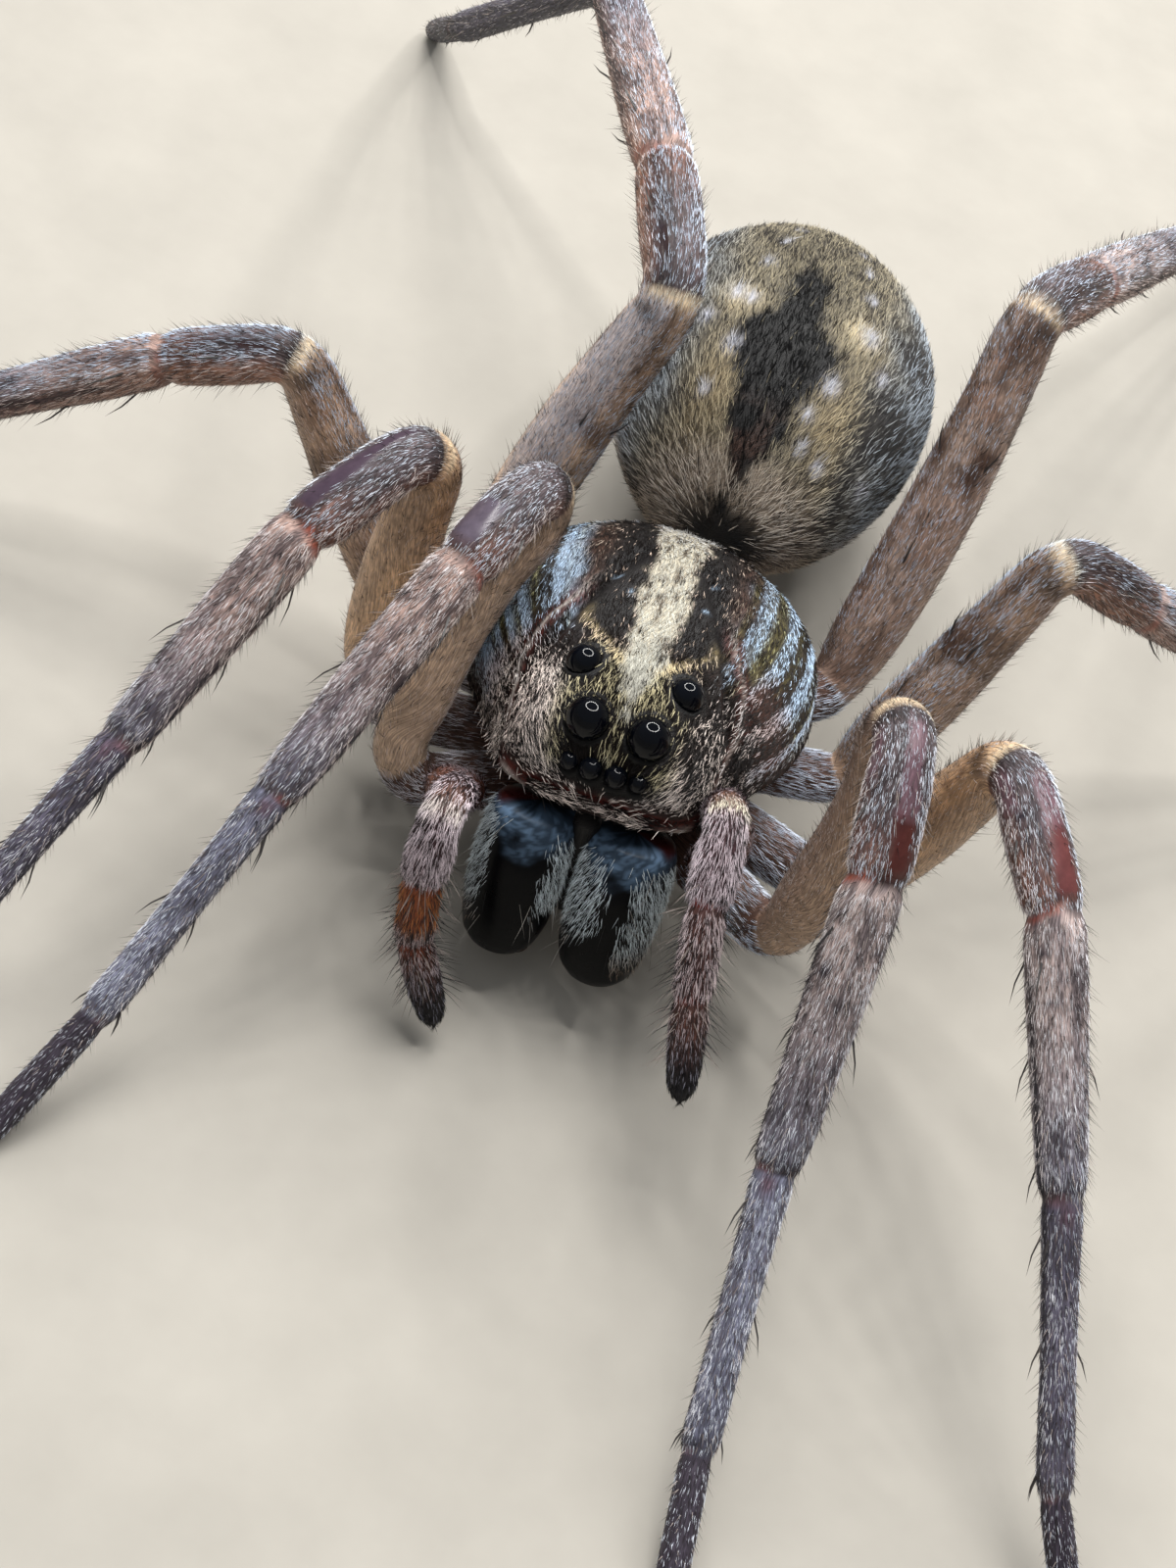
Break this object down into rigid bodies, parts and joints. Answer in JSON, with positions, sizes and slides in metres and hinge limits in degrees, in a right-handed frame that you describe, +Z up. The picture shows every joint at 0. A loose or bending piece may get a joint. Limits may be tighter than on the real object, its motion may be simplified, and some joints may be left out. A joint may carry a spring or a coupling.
{
  "type": "wolf spider",
  "caption": "Life-size wolf spider standing with raised knees, pale band along the shield, dark mark on the belly's back.",
  "frame": {"origin": "centre of the footprint box, on the floor the spider stands on", "axes": "+Z up, the head towards -Y, the spider's own left side towards +X"},
  "size_m": [0.0366, 0.04, 0.0096],
  "materials": {
    "carapace": "short lying hair over dark brown, pale middle band",
    "leg": "short lying grey and tan hair",
    "knee": "short lying hair, dark red brown spots",
    "foot": "short dark lying hair",
    "jaw": "glossy black horn with grey hairs",
    "fang": "glossy dark red brown horn",
    "eye": "polished black",
    "underside": "dark skin with short hair",
    "abdomen": "soft short hair, cream and black marks"
  },
  "bodies": {
    "root": {"abdomen": "abdomen", "carapace": "carapace", "chelicera_left": "jaw", "chelicera_right": "jaw", "eye_anterior_lateral_left": "eye", "eye_anterior_lateral_right": "eye", "eye_anterior_median_left": "eye", "eye_anterior_median_right": "eye", "eye_posterior_lateral_left": "eye", "eye_posterior_lateral_right": "eye", "eye_posterior_median_left": "eye", "eye_posterior_median_right": "eye", "fang_left": "fang", "fang_right": "fang", "leg_left_1_femur": "leg", "leg_left_1_foot": "foot", "leg_left_1_patella": "knee", "leg_left_1_tibia": "leg", "leg_left_2_femur": "leg", "leg_left_2_foot": "foot", "leg_left_2_patella": "knee", "leg_left_2_tibia": "leg", "leg_left_3_femur": "leg", "leg_left_3_foot": "foot", "leg_left_3_patella": "knee", "leg_left_3_tibia": "leg", "leg_left_4_femur": "leg", "leg_left_4_foot": "foot", "leg_left_4_patella": "knee", "leg_left_4_tibia": "leg", "leg_right_1_femur": "leg", "leg_right_1_foot": "foot", "leg_right_1_patella": "knee", "leg_right_1_tibia": "leg", "leg_right_2_femur": "leg", "leg_right_2_foot": "foot", "leg_right_2_patella": "knee", "leg_right_2_tibia": "leg", "leg_right_3_femur": "leg", "leg_right_3_foot": "foot", "leg_right_3_patella": "knee", "leg_right_3_tibia": "leg", "leg_right_4_femur": "leg", "leg_right_4_foot": "foot", "leg_right_4_patella": "knee", "leg_right_4_tibia": "leg", "palp_left_femur": "leg", "palp_left_lower": "knee", "palp_right_femur": "leg", "palp_right_lower": "knee", "pedicel": "underside", "spinnerets": "abdomen", "sternum_and_coxae": "underside"}
  },
  "joints": []
}
